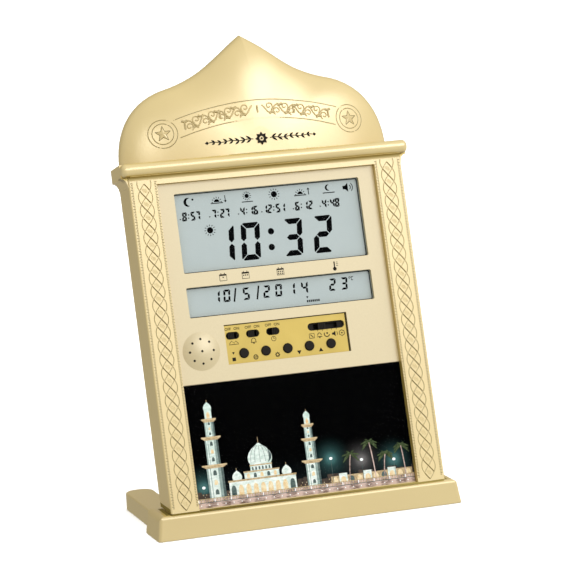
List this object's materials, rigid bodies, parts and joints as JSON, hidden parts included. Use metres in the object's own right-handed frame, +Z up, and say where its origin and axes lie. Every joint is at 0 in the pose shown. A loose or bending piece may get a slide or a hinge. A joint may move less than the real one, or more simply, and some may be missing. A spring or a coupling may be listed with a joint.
{
  "type": "azan clock",
  "caption": "Table-top azan clock: a leaning gold casing with an onion-arch top, liquid-crystal windows, a control plate and a picture panel, on a stand with rear legs.",
  "frame": {"origin": "floor level under the middle of the object's outline (centre of its bounding box's bottom)", "axes": "+Z up, +Y from the face to the rear legs, +X to the right seen from the front"},
  "size_m": [0.2288, 0.1166, 0.3407],
  "materials": {
    "gold": "satin champagne-gold moulded plastic",
    "cream_gold": "paler satin gold fascia with a faint horizontal grain",
    "plate_gold": "thin printed sheet in yellow gold",
    "lens": "thin clear acrylic window",
    "cell": "liquid crystal cell, grey-green",
    "reflector": "white reflector sheet",
    "black_plastic": "near-black moulded plastic",
    "white_plastic": "white moulded holder",
    "elastomer": "pink striped contact rubber",
    "card": "printed picture card",
    "picture_cover": "thin clear picture cover",
    "board": "green circuit board laminate",
    "chips": "black epoxy, capacitors and plugs",
    "steel": "zinc-plated steel screws and springs",
    "speaker_steel": "pressed steel frame",
    "speaker_paper": "black pressed paper cone",
    "magnet": "ferrite magnet and yoke",
    "rubber": "black rubber pads",
    "cell_jacket": "plain dark dry-cell jacket"
  },
  "bodies": {
    "clock": {"base_stand": "gold", "base_bottom": "gold", "rubber_feet": "rubber", "stand_screws": "steel", "bottom_screws": "steel", "front_casing": "gold", "fascia_panel": "cream_gold", "control_plate": "plate_gold", "main_lens": "lens", "date_lens": "lens", "main_display": "cell", "date_display": "cell", "main_reflector": "reflector", "date_reflector": "reflector", "display_holder": "white_plastic", "contact_strips": "elastomer", "picture_cover": "picture_cover", "picture_card": "card", "main_board": "board", "board_components": "chips", "board_screws": "steel", "control_board": "board", "tact_switches": "black_plastic", "slide_switches": "black_plastic", "selector_switch": "black_plastic", "speaker_frame": "speaker_steel", "speaker_cone": "speaker_paper", "speaker_magnet": "magnet", "rear_cover": "gold", "rear_cover_screws": "steel", "batteries": "cell_jacket", "battery_contacts": "steel", "power_inlet": "black_plastic"},
    "stop_cap": {"stop_button": "black_plastic"},
    "city_cap": {"city_button": "black_plastic"},
    "set_cap": {"set_button": "black_plastic"},
    "down_cap": {"down_button": "black_plastic"},
    "up_cap": {"up_button": "black_plastic"},
    "left_switch_knob": {"left_slide_knob": "black_plastic"},
    "middle_switch_knob": {"middle_slide_knob": "black_plastic"},
    "right_switch_knob": {"right_slide_knob": "black_plastic"},
    "selector_thumb": {"selector_knob": "black_plastic"},
    "battery_lid": {"battery_door": "gold"}
  },
  "joints": [
    {"name": "stop_press", "type": "slide", "parent": "clock", "child": "stop_cap", "axis": [0, 0.9659, -0.2588], "range_m": [0, 0.001], "stiffness_N_per_m": 600, "springref_m": -0.0003},
    {"name": "city_press", "type": "slide", "parent": "clock", "child": "city_cap", "axis": [0, 0.9659, -0.2588], "range_m": [0, 0.001], "stiffness_N_per_m": 600, "springref_m": -0.0003},
    {"name": "set_press", "type": "slide", "parent": "clock", "child": "set_cap", "axis": [0, 0.9659, -0.2588], "range_m": [0, 0.001], "stiffness_N_per_m": 600, "springref_m": -0.0003},
    {"name": "down_press", "type": "slide", "parent": "clock", "child": "down_cap", "axis": [0, 0.9659, -0.2588], "range_m": [0, 0.001], "stiffness_N_per_m": 600, "springref_m": -0.0003},
    {"name": "up_press", "type": "slide", "parent": "clock", "child": "up_cap", "axis": [0, 0.9659, -0.2588], "range_m": [0, 0.001], "stiffness_N_per_m": 600, "springref_m": -0.0003},
    {"name": "left_switch_slide", "type": "slide", "parent": "clock", "child": "left_switch_knob", "axis": [1, 0, 0], "range_m": [0, 0.003]},
    {"name": "middle_switch_slide", "type": "slide", "parent": "clock", "child": "middle_switch_knob", "axis": [1, 0, 0], "range_m": [0, 0.003]},
    {"name": "right_switch_slide", "type": "slide", "parent": "clock", "child": "right_switch_knob", "axis": [1, 0, 0], "range_m": [-0.003, 0]},
    {"name": "selector_slide", "type": "slide", "parent": "clock", "child": "selector_thumb", "axis": [1, 0, 0], "range_m": [-0.00353, 0.01059]},
    {"name": "battery_lid_lift_off", "type": "slide", "parent": "clock", "child": "battery_lid", "axis": [0, 0.9659, -0.2588], "range_m": [0, 0.04]}
  ]
}
